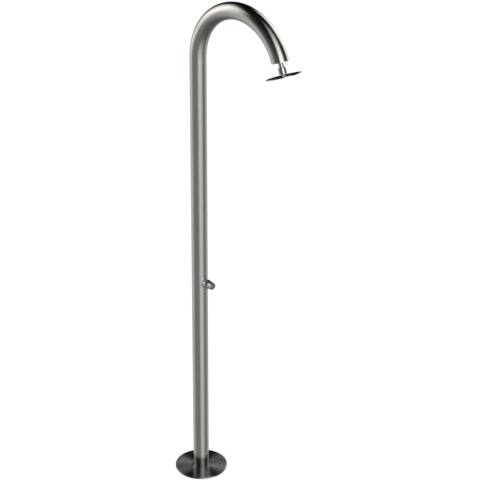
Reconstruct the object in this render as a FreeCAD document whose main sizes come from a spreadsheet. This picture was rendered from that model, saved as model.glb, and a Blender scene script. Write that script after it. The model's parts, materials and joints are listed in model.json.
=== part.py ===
"""Outdoor shower post: a bent stainless tube on a bolted foot, with a self-closing push valve
and a slim swivelling shower head.

Frame: the origin is on the floor at the post's axis, +Z is up, and the arm and the button
point along +X. All sizes are in millimetres and degrees.
"""
import FreeCAD, Part
import os
import Sketcher

DOC = FreeCAD.newDocument("ShowerPost")
SHEET = DOC.addObject("Spreadsheet::Sheet", "Sizes")
V = FreeCAD.Vector
Y_AXIS = V(0, 1, 0)

SIZES = [
    # post tube
    ("post_od", 70, "outside diameter of the bent tube"),
    ("post_wall", 2, "wall of the tube"),
    ("straight_run", 1960, "floor to the start of the bend"),
    ("bend_radius", 235, "radius of the bend's centre line"),
    ("bend_angle", 160, "how far the tube is bent over"),
    # foot
    ("flange_thick", 6, "foot flange"),
    ("flange_margin", 6.5, "flange's edge to the inside of the rosette's rim"),
    ("entry_bore", 50, "hole in the flange for the water supply"),
    ("anchor_pcd", 170, "bolt circle of the floor anchors"),
    ("anchor_count", 4, "floor anchors"),
    ("anchor_hole", 9, "hole for an M8 anchor"),
    ("anchor_head", 16.5, "countersink for the anchor's head"),
    ("cover_od", 236, "rosette over the flange"),
    ("cover_sheet", 1.5, "rosette's sheet"),
    ("cover_lift", 0.3, "gap under the rosette's rim"),
    ("cover_edge", 0.8, "broken edge of the rosette"),
    ("seal_width", 1.0, "rubber between tube and rosette"),
    ("seal_foot", 4, "width of the rubber's foot under the sheet"),
    ("seal_foot_thick", 0.3, "thickness of that foot"),
    ("seal_lift", 0.2, "rubber's foot above the flange"),
    ("seal_inset", 0.2, "rubber stays below the rosette's top"),
    ("slip_gap", 0.1, "running clearance, on a radius"),
    # valve, along +X through the tube's wall
    ("valve_height", 950, "floor to the button's axis"),
    ("neck_od", 29, "threaded neck"),
    ("neck_wall", 2.5, "wall of the neck"),
    ("neck_hole_gap", 0.5, "neck to the hole in the tube, on a radius"),
    ("neck_end_gap", 0.5, "neck's end to the bottom of its thread"),
    ("neck_front_gap", 0.4, "neck's front end behind the button's pocket"),
    ("saddle_wall", 2.25, "wall of the ring on the tube"),
    ("saddle_stand", 15, "ring's front face, out from the tube's surface"),
    ("collar_wall", 2.5, "collar's thread inside the ring"),
    ("collar_gap", 0.25, "collar's thread to the ring, on a radius"),
    ("collar_grip", 13, "length of that thread"),
    ("collar_length", 11, "visible length of the collar"),
    ("collar_step", 0.3, "collar smaller than the ring, on a radius"),
    ("collar_lip", 1.4, "wall of the collar round the button"),
    ("seam", 0.6, "broken edge between collar and ring"),
    ("gasket_thick", 8, "rubber saddle at its thickest"),
    ("gasket_width", 4.5, "rubber saddle round the neck"),
    ("barrel_step", 4, "where the valve body's shoulder starts"),
    ("barrel_wall", 4, "wall round the inlet chamber"),
    ("rear_wall", 3.5, "rear end wall"),
    ("chamber_gap", 1.5, "rubber disc to the inlet chamber, on a radius"),
    ("chamber_spare", 0.7, "room behind the pushed rod"),
    ("outlet_extra", 1, "outlet chamber wider than the inlet's, on a radius"),
    ("seat_bore", 14, "water way through the seat"),
    ("seat_half", 1, "half the seat wall, each side of the axis"),
    ("thread_floor", 10, "bottom of the neck's thread, from the axis"),
    ("port_od", 20.8, "G1/2 male thread"),
    ("port_shoulder", 25, "boss behind the thread"),
    ("port_shoulder_reach", 28, "valve's axis to the end of the boss"),
    ("port_reach", 42, "valve's axis to the port's face"),
    ("port_drill", 7, "drilled water way"),
    ("port_offset", 5.2, "water way off the port's axis"),
    ("port_drill_inset", 5, "water way's inner end, from the valve's axis"),
    # cartridge
    ("sleeve_gap", 0.1, "sleeve to the neck's bore, on a radius"),
    ("sleeve_inset", 0.7, "sleeve's rear end inside the neck"),
    ("sleeve_wall", 2.9, "wall of the sleeve"),
    ("sleeve_web", 4, "end walls of the sleeve"),
    ("rod_dia", 6, "plunger rod"),
    ("rod_tip", 5, "threaded rear end of the rod"),
    ("rod_seal_depth", 2, "groove for a rod seal, on a radius"),
    ("rod_seal_width", 1.6, "seal round the rod"),
    ("ring_depth", 1.3, "depth of an O-ring's groove"),
    ("ring_width", 2, "width of an O-ring"),
    ("ring_inset", 5, "O-ring in from the sleeve's end"),
    ("clip_thick", 1.2, "retaining ring"),
    ("clip_width", 3, "retaining ring, from its groove inwards"),
    ("clip_bite", 0.6, "depth of its groove"),
    ("clip_inset", 2, "retaining ring in from the neck's front end"),
    ("piston_length", 6, "piston"),
    ("piston_gap", 0.2, "piston to the sleeve, on a radius and at its stop"),
    ("piston_groove", 1.8, "depth of the piston seal's groove"),
    ("spring_wire", 1.2, "return spring"),
    ("spring_mean", 12.4, "mean diameter of the spring"),
    ("spring_turns", 7, "turns of the spring"),
    ("disc_overlap", 1.5, "rubber disc past the seat's bore, on a radius"),
    ("disc_thick", 3, "rubber disc"),
    ("disc_washer_thick", 1.5, "washer behind the disc"),
    ("disc_nut_flats", 8, "M5 nut across flats"),
    ("disc_nut_thick", 3.6, "M5 nut"),
    ("tip_spare", 0.6, "rod beyond the nut"),
    # button
    ("button_travel", 8, "how far the button goes in"),
    ("button_dia", 31.6, "button"),
    ("button_length", 22, "rear edge to face"),
    ("button_wall", 2.4, "wall of the button"),
    ("button_face_thick", 4, "end wall of the button"),
    ("button_gap", 0.3, "button to its pocket, on a radius"),
    ("button_cover", 1, "button inside the collar at rest"),
    ("button_stop", 0.4, "pushed button to the pocket's floor"),
    ("button_round", 2.4, "rounding of the face's edge"),
    ("boss_wall", 2.5, "boss round the rod"),
    ("boss_length", 12, "boss behind the end wall"),
    ("rod_stop", 1.5, "web between the rod's end and the screw's head"),
    ("insert_dia", 23.2, "round insert in the face"),
    ("insert_thick", 1.5, "insert"),
    ("screw_dia", 4, "button screw"),
    ("screw_grip", 9, "screw in the rod"),
    ("screw_head", 7.6, "screw's head"),
    ("screw_head_thick", 2.6, "screw's head"),
    ("screw_head_gap", 0.4, "clearance round and over the head"),
    ("screw_socket", 2.5, "hexagon socket across flats"),
    # hoses
    ("hose_od", 14, "braided hose"),
    ("hose_bore", 9, "braided hose"),
    ("hose_turn", 90, "riser's bend just before the outlet"),
    ("inlet_lift", 2, "floor to the inlet's end"),
    ("inlet_thread", 12, "threaded length of the inlet"),
    ("inlet_flats", 22, "inlet's hexagon across flats"),
    ("inlet_hex", 8, "length of that hexagon"),
    ("inlet_neck", 2, "hexagon to the hose"),
    ("barb_length", 18, "tail inside the hose"),
    ("tail_wall", 1, "wall of the tail inside the hose"),
    ("tail_neck_wall", 2.5, "wall of the tail's neck"),
    ("tail_flange_gap", 1.2, "tail's flange inside the nut's thread, on a radius"),
    ("tail_flange_thick", 2, "flange of a tail"),
    ("tail_length", 12, "port's face to the hose"),
    ("washer_thick", 2, "fibre washer"),
    ("washer_bore", 8, "fibre washer"),
    ("nut_flats", 24, "G1/2 nut across flats"),
    ("nut_grip", 11, "nut over the port"),
    ("nut_web", 4.8, "nut's end wall"),
    ("nut_neck_gap", 0.2, "nut to the tail's neck, on a radius"),
    ("ferrule_wall", 1.3, "crimped ferrule"),
    ("ferrule_lip", 1, "ferrule's end wall"),
    # arm end and swivel
    ("cap_thick", 4, "disc in the arm's end"),
    ("nipple_inside", 22, "nipple inside the arm's end face"),
    ("nipple_wall", 3.4, "wall of the nipple"),
    ("nipple_flange", 28, "nipple's flange"),
    ("nipple_flange_thick", 4, "nipple's flange"),
    ("nut_start", 20, "arm's end face to the swivel nut"),
    ("nut_thread", 10, "nipple inside the swivel nut"),
    ("nut_length", 26, "swivel nut"),
    ("nut_wall", 5.8, "wall of the swivel nut"),
    ("nut_edge", 1, "broken edges of the swivel nut"),
    ("ball_dia", 17, "swivel ball"),
    ("ball_top_gap", 0.5, "nipple's end to the ball"),
    ("ball_gap", 0.3, "ball to its seats"),
    ("ball_ledge", 1, "ledge above the ball's centre"),
    ("lip_hold", 0.9, "nut's mouth smaller than the ball, on a radius"),
    ("lip_land", 1.6, "straight part of the mouth"),
    ("lip_flare", 1, "widening of the mouth"),
    ("seat_ring_bore", 11, "ring above the ball"),
    ("seat_ring_length", 4, "ring above the ball"),
    ("seat_ring_gap", 0.5, "ring to the nipple and the nut"),
    ("stem_bore", 6, "water way of the ball"),
    ("stem_wall", 1.5, "wall of the ball's neck"),
    # shower head
    ("head_gap", 6.5, "swivel nut to the head's top"),
    ("head_dia", 140, "shower head"),
    ("head_rim", 3.6, "height of the rim"),
    ("head_sheet", 0.8, "sheet of both plates"),
    ("head_edge", 0.5, "broken top edge"),
    ("face_inset", 0.2, "face plate inside the rim"),
    ("mat_thick", 0.5, "silicone mat"),
    ("mat_margin", 3.2, "mat in from the face plate's edge"),
    ("hub_wall", 3, "hub round the ball's neck"),
    ("hub_rise", 1.2, "hub above the back plate"),
    ("hub_flange", 20, "hub inside the head"),
    ("hub_flange_thick", 0.7, "hub inside the head"),
    ("nozzle_rings", 4, "rings of nozzles"),
    ("nozzle_first", 6, "nozzles in the inner ring, and more in each next one"),
    ("nozzle_pitch", 14, "ring to ring"),
    ("nozzle_dia", 3.2, "nozzle"),
    ("nozzle_reach", 1.4, "nozzle below the face"),
    ("nozzle_bore", 1.2, "jet"),
]


def write_sheet():
    """Put every driving size in the sheet under its own name."""
    for row, (name, number, note) in enumerate(SIZES, start=1):
        SHEET.set(f"A{row}", note)
        SHEET.set(f"B{row}", str(number))
        SHEET.setAlias(f"B{row}", name)
    DOC.recompute()


def size(name):
    """Expression that reads one size."""
    return f"Sizes.{name}"


def half(name):
    """Expression for half a size, such as a radius from a diameter."""
    return f"(Sizes.{name} / 2)"


def whole(name):
    """A size as a whole number, for counts."""
    return int(round(SHEET.get(name)))


def add(*terms):
    """Expression for a sum."""
    return "(" + " + ".join(terms) + ")"


def less(first, *rest):
    """Expression for a difference."""
    return "(" + " - ".join((first,) + rest) + ")"


def minus(term):
    """Expression for a negative."""
    return f"(0 - {term})"


# Foot: the rubber's foot lies between the flange and the rosette's sheet.
POST_R = half("post_od")
POST_BORE_R = less(POST_R, size("post_wall"))
COVER_R = half("cover_od")
COVER_BORE_R = add(POST_R, size("seal_width"))
COVER_RIM_R = less(COVER_R, size("cover_sheet"))
SEAL_UNDER = add(size("flange_thick"), size("seal_lift"))
COVER_UNDER = add(SEAL_UNDER, size("seal_foot_thick"))
COVER_TOP = add(COVER_UNDER, size("cover_sheet"))

# Valve, measured from the post's axis towards the button.
VALVE_Z = size("valve_height")
NECK_R = half("neck_od")
NECK_BORE_R = less(NECK_R, size("neck_wall"))
COLLAR_THREAD_R = add(NECK_R, size("collar_wall"))
SADDLE_BORE_R = add(COLLAR_THREAD_R, size("collar_gap"))
SADDLE_R = add(SADDLE_BORE_R, size("saddle_wall"))
SADDLE_FACE = add(POST_R, size("saddle_stand"))
COLLAR_R = less(SADDLE_R, size("collar_step"))
COLLAR_FACE = add(SADDLE_FACE, size("collar_length"))
SHOULDER = less(POST_BORE_R, size("gasket_thick"))
BARREL_R = add(NECK_R, size("gasket_width"))
BUTTON_R = half("button_dia")
POCKET_R = add(BUTTON_R, size("button_gap"))
BUTTON_REAR = less(COLLAR_FACE, size("button_cover"))
POCKET_FLOOR = less(BUTTON_REAR, size("button_travel"), size("button_stop"))
NECK_REAR = add(size("thread_floor"), size("neck_end_gap"))
NECK_FRONT = less(POCKET_FLOOR, size("neck_front_gap"))

# Cartridge in the neck.
SLEEVE_R = less(NECK_BORE_R, size("sleeve_gap"))
SLEEVE_BORE_R = less(SLEEVE_R, size("sleeve_wall"))
SLEEVE_REAR = add(NECK_REAR, size("sleeve_inset"))
SLEEVE_FRONT = less(NECK_FRONT, size("clip_inset"), size("clip_thick"))
SPRING_REAR = add(SLEEVE_REAR, size("sleeve_web"))
PISTON_STOP = less(SLEEVE_FRONT, size("sleeve_web"))
PISTON_R = less(SLEEVE_BORE_R, size("piston_gap"))
PISTON_FRONT = less(PISTON_STOP, size("piston_gap"))
PISTON_REAR = less(PISTON_FRONT, size("piston_length"))
PISTON_GROOVE_R = less(PISTON_R, size("piston_groove"))
PISTON_GROOVE_REAR = add(PISTON_REAR, f"(Sizes.piston_length - Sizes.ring_width) / 2")
ROD_R = half("rod_dia")
TIP_R = half("rod_tip")
ROD_HOLE_R = add(ROD_R, size("slip_gap"))
ROD_SEAL_R = add(ROD_R, size("rod_seal_depth"))
SEAL_CENTRING = "(Sizes.sleeve_web - Sizes.rod_seal_width) / 2"

# Seat and what shuts it; the inlet chamber is as deep as the pushed rod needs.
SEAT_R = half("seat_bore")
DISC_R = add(SEAT_R, size("disc_overlap"))
DISC_FRONT = minus(add(size("seat_half"), size("slip_gap")))
DISC_REAR = less(DISC_FRONT, size("disc_thick"))
WASHER_REAR = less(DISC_REAR, size("disc_washer_thick"))
DISC_NUT_REAR = less(WASHER_REAR, size("disc_nut_thick"))
ROD_REAR = less(DISC_NUT_REAR, size("tip_spare"))
INLET_R = add(DISC_R, size("chamber_gap"))
INLET_REAR = less(ROD_REAR, size("button_travel"), size("chamber_spare"))
OUTLET_R = add(INLET_R, size("outlet_extra"))
BODY_REAR = less(INLET_REAR, size("rear_wall"))
BARREL_REAR_R = add(INLET_R, size("barrel_wall"))

# Button.
BUTTON_FACE = add(BUTTON_REAR, size("button_length"))
BUTTON_IN = less(BUTTON_FACE, size("button_face_thick"))
BUTTON_IN_R = less(BUTTON_R, size("button_wall"))
INSERT_BACK = less(BUTTON_FACE, size("insert_thick"))
SCREW_SEAT = less(INSERT_BACK, size("screw_head_thick"), size("screw_head_gap"))
ROD_FRONT = less(SCREW_SEAT, size("rod_stop"))
SCREW_END = less(ROD_FRONT, size("screw_grip"))
SCREW_R = half("screw_dia")
HEAD_R = half("screw_head")
HEAD_ROOM_R = add(HEAD_R, size("screw_head_gap"))
BOSS_R = add(ROD_R, size("boss_wall"))
BOSS_REAR = less(BUTTON_IN, size("boss_length"))

# Hoses and their ends.
PORT_R = half("port_od")
HOSE_R = half("hose_od")
BARB_R = half("hose_bore")
TAIL_BORE_R = less(BARB_R, size("tail_wall"))
TAIL_NECK_R = add(TAIL_BORE_R, size("tail_neck_wall"))
TAIL_FLANGE_R = less(PORT_R, size("tail_flange_gap"))
TAIL_SEAT = add(size("washer_thick"), size("tail_flange_thick"))
TAIL_END = add(size("tail_length"), size("barb_length"))
FERRULE_R = add(HOSE_R, size("ferrule_wall"))
INLET_HEX = add(size("inlet_lift"), size("inlet_thread"))
INLET_NECK = add(INLET_HEX, size("inlet_hex"))
SUPPLY_START = add(INLET_NECK, size("inlet_neck"))
HOSE_STANDOFF = add(size("port_reach"), size("tail_length"))
SUPPLY_END = less(VALVE_Z, HOSE_STANDOFF)
RISER_START = add(VALVE_Z, HOSE_STANDOFF)
# The riser follows the bend, leaves it straight, and turns on to the nipple's axis.
RISER_STRAIGHT = add(size("nipple_inside"), size("tail_length"))
RISER_LAST_TURN = f"(2 * atan({RISER_STRAIGHT} / (Sizes.bend_radius - Sizes.hose_turn)))"
RISER_FIRST_TURN = f"(Sizes.bend_angle * 1 deg - {RISER_LAST_TURN})"

# Arm's end, measured along the arm from its end face.
ARM_X = "(Sizes.bend_radius * (1 - cos(Sizes.bend_angle)))"
ARM_Z = "(Sizes.straight_run + Sizes.bend_radius * sin(Sizes.bend_angle))"
NIPPLE_REAR = minus(size("nipple_inside"))
NIPPLE_END = add(size("nut_start"), size("nut_thread"))
NIPPLE_BORE_R = less(PORT_R, size("nipple_wall"))
NUT_R = add(PORT_R, size("nut_wall"))
NUT_END = add(size("nut_start"), size("nut_length"))
BALL_R = half("ball_dia")
BALL_SEAT_R = add(BALL_R, size("ball_gap"))
BALL_AT = add(NIPPLE_END, size("ball_top_gap"), BALL_R)
LIP_R = less(BALL_R, size("lip_hold"))
LIP_START = f"({BALL_AT} + sqrt({BALL_SEAT_R}^2 - {LIP_R}^2))"
LIP_END = add(LIP_START, size("lip_land"))
STEM_R = add(half("stem_bore"), size("stem_wall"))
HEAD_TOP = add(NUT_END, size("head_gap"))
HEAD_UNDER_TOP = add(HEAD_TOP, size("head_sheet"))
HEAD_RIM = add(HEAD_TOP, size("head_rim"))
HUB_END = add(HEAD_UNDER_TOP, size("hub_flange_thick"))
HUB_R = add(STEM_R, size("hub_wall"))
PLATE_R = half("head_dia")
FACE_R = less(PLATE_R, size("head_sheet"))
FACE_TOP = less(HEAD_RIM, size("face_inset"), size("head_sheet"))
MAT_TOP = less(FACE_TOP, size("mat_thick"))


def along_arm(distance):
    """Point on the arm's axis at a distance beyond the arm's end face."""
    return (
        f"({ARM_X} + {distance} * sin(Sizes.bend_angle))",
        "0",
        f"({ARM_Z} + {distance} * cos(Sizes.bend_angle))",
    )


def stand(item, at=("0", "0", "0"), turn=None):
    """Place an object by expressions, turned about the Y direction."""
    start_turn = 1 if turn else 0
    item.Placement = FreeCAD.Placement(V(0, 0, 0), FreeCAD.Rotation(Y_AXIS, start_turn))
    for letter, text in zip("xyz", at):
        if text != "0":
            item.setExpression(f"Placement.Base.{letter}", text)
    if turn:
        item.setExpression("Placement.Rotation.Angle", turn)
    return item


def in_valve(item, start="0"):
    """Turn an object's own Z to +X, on the button's axis."""
    return stand(item, (start, "0", VALVE_Z), "90 deg")


def on_arm(item, start="0"):
    """Turn an object's own Z to the arm's direction, at its end."""
    return stand(item, along_arm(start), size("bend_angle"))


def plane_of(body, role):
    """One of a body's own origin planes."""
    return [part for part in body.Origin.OriginFeatures if part.Role == role][0]


def new_body(label):
    """An empty body with its label."""
    body = DOC.addObject("PartDesign::Body", label)
    body.Label = label
    return body


def new_sketch(body, role="XY_Plane", lift=None):
    """A sketch on one of the body's origin planes, lifted off it by an expression."""
    sketch = body.newObject("Sketcher::SketchObject", "Sketch")
    sketch.AttachmentSupport = [(plane_of(body, role), "")]
    sketch.MapMode = "FlatFace"
    if lift:
        sketch.setExpression("AttachmentOffset.Base.z", lift)
    return sketch


def bind(sketch, kind, first, first_point, second, second_point, text):
    """Add a distance constraint whose value is an expression."""
    constraint = Sketcher.Constraint(kind, first, first_point, second, second_point, 1.0)
    number = sketch.addConstraint(constraint)
    sketch.setExpression(f"Constraints[{number}]", text)


def pin_point(sketch, edge, point, across, up):
    """Fix a sketch point at two expressions; '0' puts it on the sketch's axis."""
    if across == "0":
        sketch.addConstraint(Sketcher.Constraint("PointOnObject", edge, point, -2))
    else:
        bind(sketch, "DistanceX", -1, 1, edge, point, across)
    if up == "0":
        sketch.addConstraint(Sketcher.Constraint("PointOnObject", edge, point, -1))
    else:
        bind(sketch, "DistanceY", -1, 1, edge, point, up)


def draw_outline(sketch, outline):
    """Closed outline of straight lines through (across, up) expressions."""
    count = len(outline)
    rough = [V(index + 1, index * index, 0) for index in range(count)]
    for index in range(count):
        line = Part.LineSegment(rough[index], rough[(index + 1) % count])
        sketch.addGeometry(line, False)
    for index in range(count):
        following = (index + 1) % count
        sketch.addConstraint(Sketcher.Constraint("Coincident", index, 2, following, 1))
    for index, (across, up) in enumerate(outline):
        pin_point(sketch, index, 1, across, up)


def draw_circle(sketch, radius, across="0", up="0"):
    """Circle of a radius, with its centre at two expressions."""
    edge = sketch.addGeometry(Part.Circle(V(1, 1, 0), V(0, 0, 1), 1.0), False)
    pin_point(sketch, edge, 3, across, up)
    number = sketch.addConstraint(Sketcher.Constraint("Radius", edge, 1.0))
    sketch.setExpression(f"Constraints[{number}]", radius)


def feature(body, kind, sketch):
    """Add a feature that reads a sketch."""
    made = body.newObject(kind, kind.split("::")[1])
    made.Profile = sketch
    return made


def pad(body, sketch, length):
    """Pad a sketch upwards."""
    made = feature(body, "PartDesign::Pad", sketch)
    made.setExpression("Length", length)
    return made


def pocket_through(body, sketch):
    """Cut a sketch through everything, both ways."""
    made = feature(body, "PartDesign::Pocket", sketch)
    made.Type = "ThroughAll"
    made.Midplane = True
    return made


def repeat_round(body, made, count):
    """Repeat a feature in equal steps about the body's Z axis."""
    pattern = body.newObject("PartDesign::PolarPattern", "PolarPattern")
    pattern.Originals = [made]
    pattern.Axis = (plane_of(body, "Z_Axis"), [""])
    pattern.Angle = 360
    pattern.Occurrences = count
    body.Tip = pattern
    return pattern


def turned(label, outline):
    """A turned piece: its half section of (radius, height) points, spun about Z."""
    body = new_body(label)
    sketch = new_sketch(body, "XZ_Plane")
    draw_outline(sketch, outline)
    spin = feature(body, "PartDesign::Revolution", sketch)
    spin.ReferenceAxis = (sketch, ["V_Axis"])
    spin.Angle = 360
    return body


def ring(label, bore, radius, low, high):
    """A turned ring of square section."""
    return turned(label, [(bore, low), (radius, low), (radius, high), (bore, high)])


def drum(label, radius, low, high):
    """A turned solid cylinder."""
    return turned(label, [("0", low), (radius, low), (radius, high), ("0", high)])


def cylinder(radius, length, at=("0", "0", "0"), turn=None):
    """A plain cylinder for a boolean."""
    made = DOC.addObject("Part::Cylinder", "Cylinder")
    made.setExpression("Radius", radius)
    made.setExpression("Height", length)
    return stand(made, at, turn)


def valve_cylinder(radius, low, high):
    """A cylinder on the button's axis."""
    return cylinder(radius, less(high, low), (low, "0", VALVE_Z), "90 deg")


def sphere(radius):
    """The ball joint's sphere, on the arm's axis."""
    made = DOC.addObject("Part::Sphere", "Sphere")
    made.setExpression("Radius", radius)
    return on_arm(made, BALL_AT)


def prism(flats, length):
    """A hexagonal prism of a size across flats."""
    made = DOC.addObject("Part::Prism", "Prism")
    made.Polygon = 6
    made.setExpression("Circumradius", f"({flats} / 2 / cos(30))")
    made.setExpression("Height", length)
    return made


def fuse(label, *shapes):
    """Join solids."""
    made = DOC.addObject("Part::MultiFuse", label)
    made.Label = label
    made.Shapes = list(shapes)
    return made


def cut(label, base, *tools):
    """Take solids away from another."""
    tool = tools[0]
    if len(tools) > 1:
        tool = fuse(f"{label}_cutters", *tools)
    made = DOC.addObject("Part::Cut", label)
    made.Label = label
    made.Base = base
    made.Tool = tool
    return made


def group(label, pieces):
    """Separate solids of one node."""
    made = DOC.addObject("Part::Compound", label)
    made.Label = label
    made.Links = pieces
    return made


def bend(radius, turn_radius, angle, at, turn):
    """A bent round bar that starts at a point, heads up its own Z and turns towards its X."""
    arc = DOC.addObject("Part::Torus", "Torus")
    arc.setExpression("Radius1", turn_radius)
    arc.setExpression("Radius2", radius)
    arc.setExpression("Angle3", angle)
    arc.Placement = FreeCAD.Placement(V(0, 0, 0), FreeCAD.Rotation(V(0, 1, 1), 180))
    arc.setExpression("Placement.Base.x", turn_radius)
    return stand(group("Bend", [arc]), at, turn)


def round_rim(body, amount):
    """Round the outer edge of a turned body's front face."""
    DOC.recompute()
    base = body.Tip
    rims = []
    for number, edge in enumerate(base.Shape.Edges, start=1):
        if len(edge.Vertexes) == 1:
            rims.append((round(edge.CenterOfMass.z, 6), edge.Curve.Radius, f"Edge{number}"))
    rim = max(rims)
    rounding = body.newObject("PartDesign::Fillet", "Fillet")
    rounding.Base = (base, [rim[2]])
    rounding.setExpression("Radius", amount)
    body.Tip = rounding


def make_post_tube():
    """Straight run, bend, and the hole for the valve's neck."""
    body = new_body("post_tube")
    foot = new_sketch(body, "XY_Plane", size("flange_thick"))
    draw_circle(foot, POST_R)
    draw_circle(foot, POST_BORE_R)
    pad(body, foot, less(size("straight_run"), size("flange_thick")))
    top = new_sketch(body, "XY_Plane", size("straight_run"))
    top.setExpression("AttachmentOffset.Base.x", size("bend_radius"))
    draw_circle(top, POST_R, minus(size("bend_radius")))
    draw_circle(top, POST_BORE_R, minus(size("bend_radius")))
    arc = feature(body, "PartDesign::Revolution", top)
    arc.ReferenceAxis = (top, ["V_Axis"])
    arc.setExpression("Angle", size("bend_angle"))
    hole = new_sketch(body, "YZ_Plane")
    draw_circle(hole, add(NECK_R, size("neck_hole_gap")), "0", VALVE_Z)
    cutter = feature(body, "PartDesign::Pocket", hole)
    cutter.setExpression("Length", add(POST_R, size("post_wall")))
    cutter.Reversed = True
    return body


def make_base_flange():
    """Round plate with a supply hole and countersunk anchor holes."""
    body = new_body("base_flange")
    plate = new_sketch(body)
    draw_circle(plate, less(COVER_RIM_R, size("flange_margin")))
    draw_circle(plate, half("entry_bore"))
    pad(body, plate, size("flange_thick"))
    sink = new_sketch(body, "XZ_Plane")
    centre = half("anchor_pcd")
    hole_edge = add(centre, half("anchor_hole"))
    head_edge = add(centre, half("anchor_head"))
    head_depth = "((Sizes.anchor_head - Sizes.anchor_hole) / 2)"
    outline = [
        (centre, "0"),
        (hole_edge, "0"),
        (hole_edge, less(size("flange_thick"), head_depth)),
        (head_edge, size("flange_thick")),
        (centre, size("flange_thick")),
    ]
    draw_outline(sink, outline)
    axis = sink.addGeometry(Part.LineSegment(V(1, 0, 0), V(1, 5, 0)), True)
    pin_point(sink, axis, 1, centre, "0")
    pin_point(sink, axis, 2, centre, size("flange_thick"))
    hole = feature(body, "PartDesign::Groove", sink)
    hole.ReferenceAxis = (sink, ["Axis0"])
    hole.Angle = 360
    repeat_round(body, hole, whole("anchor_count"))
    return body


def make_base_cover():
    """Rosette: flat sheet with a turned-down rim."""
    shy = less(COVER_R, size("cover_edge"))
    outline = [
        (COVER_BORE_R, COVER_UNDER),
        (COVER_RIM_R, COVER_UNDER),
        (COVER_RIM_R, size("cover_lift")),
        (COVER_R, size("cover_lift")),
        (COVER_R, less(COVER_TOP, size("cover_edge"))),
        (shy, COVER_TOP),
        (COVER_BORE_R, COVER_TOP),
    ]
    return turned("base_cover", outline)


def make_cover_seal():
    """Rubber lip on the tube, with a foot under the sheet."""
    lip = add(POST_R, size("slip_gap"))
    foot = add(COVER_BORE_R, size("seal_foot"))
    top = less(COVER_TOP, size("seal_inset"))
    outline = [
        (lip, SEAL_UNDER),
        (foot, SEAL_UNDER),
        (foot, COVER_UNDER),
        (COVER_BORE_R, COVER_UNDER),
        (COVER_BORE_R, top),
        (lip, top),
    ]
    return turned("cover_seal", outline)


def make_valve_body():
    """Brass body: barrel, two ports, chambers each side of the seat, and the neck's thread."""
    rear = valve_cylinder(BARREL_REAR_R, BODY_REAR, size("barrel_step"))
    front = valve_cylinder(BARREL_R, size("barrel_step"), SHOULDER)
    low_boss = less(VALVE_Z, size("port_shoulder_reach"))
    low_port = less(VALVE_Z, size("port_reach"))
    bosses = cylinder(half("port_shoulder"), "2 * Sizes.port_shoulder_reach", ("0", "0", low_boss))
    ports = cylinder(PORT_R, "2 * Sizes.port_reach", ("0", "0", low_port))
    inlet = valve_cylinder(INLET_R, INLET_REAR, minus(size("seat_half")))
    seat = valve_cylinder(SEAT_R, minus(size("seat_half")), size("seat_half"))
    outlet = valve_cylinder(OUTLET_R, size("seat_half"), size("thread_floor"))
    thread = valve_cylinder(NECK_R, size("thread_floor"), SHOULDER)
    drill_r = half("port_drill")
    drill_length = less(size("port_reach"), size("port_drill_inset"))
    drill_in = cylinder(drill_r, drill_length, (minus(size("port_offset")), "0", low_port))
    high_start = add(VALVE_Z, size("port_drill_inset"))
    drill_out = cylinder(drill_r, drill_length, (size("port_offset"), "0", high_start))
    blank = fuse("valve_body_blank", rear, front, bosses, ports)
    return cut("valve_body", blank, inlet, seat, outlet, thread, drill_in, drill_out)


def make_valve_neck():
    """Threaded neck with an O-ring groove outside and a ring groove inside."""
    groove_r = less(NECK_R, size("ring_depth"))
    groove_start = add(NECK_REAR, size("ring_width"))
    groove_end = add(groove_start, size("ring_width"))
    clip_r = add(NECK_BORE_R, size("clip_bite"))
    clip_end = add(SLEEVE_FRONT, size("clip_thick"))
    outline = [
        (NECK_BORE_R, NECK_REAR),
        (NECK_R, NECK_REAR),
        (NECK_R, groove_start),
        (groove_r, groove_start),
        (groove_r, groove_end),
        (NECK_R, groove_end),
        (NECK_R, NECK_FRONT),
        (NECK_BORE_R, NECK_FRONT),
        (NECK_BORE_R, clip_end),
        (clip_r, clip_end),
        (clip_r, SLEEVE_FRONT),
        (NECK_BORE_R, SLEEVE_FRONT),
    ]
    neck = in_valve(turned("valve_neck", outline))
    seal = in_valve(ring("neck_o_ring", groove_r, NECK_R, groove_start, groove_end))
    clip_bore = less(clip_r, size("clip_width"))
    clip = in_valve(ring("retaining_ring", clip_bore, clip_r, SLEEVE_FRONT, clip_end))
    return [neck, seal, clip]


def make_valve_gasket():
    """Rubber saddle: flat on the valve body, hollowed to the tube's inner wall."""
    disc = valve_cylinder(BARREL_R, SHOULDER, POST_R)
    hole = valve_cylinder(NECK_R, SHOULDER, POST_R)
    bottom = less(VALVE_Z, size("neck_od"))
    tube_bore = cylinder(POST_BORE_R, "2 * Sizes.neck_od", ("0", "0", bottom))
    washer = cut("valve_gasket_blank", disc, hole)
    made = DOC.addObject("Part::Common", "valve_gasket")
    made.Label = "valve_gasket"
    made.Base = washer
    made.Tool = tube_bore
    return made


def make_valve_saddle():
    """Ring that stands on the tube: its back follows the tube's outside."""
    outer = in_valve(drum("valve_saddle_blank", SADDLE_R, size("barrel_step"), SADDLE_FACE))
    bore = valve_cylinder(SADDLE_BORE_R, size("barrel_step"), SADDLE_FACE)
    bottom = less(VALVE_Z, size("neck_od"))
    tube = cylinder(POST_R, "2 * Sizes.neck_od", ("0", "0", bottom))
    return cut("valve_saddle", outer, bore, tube)


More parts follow.
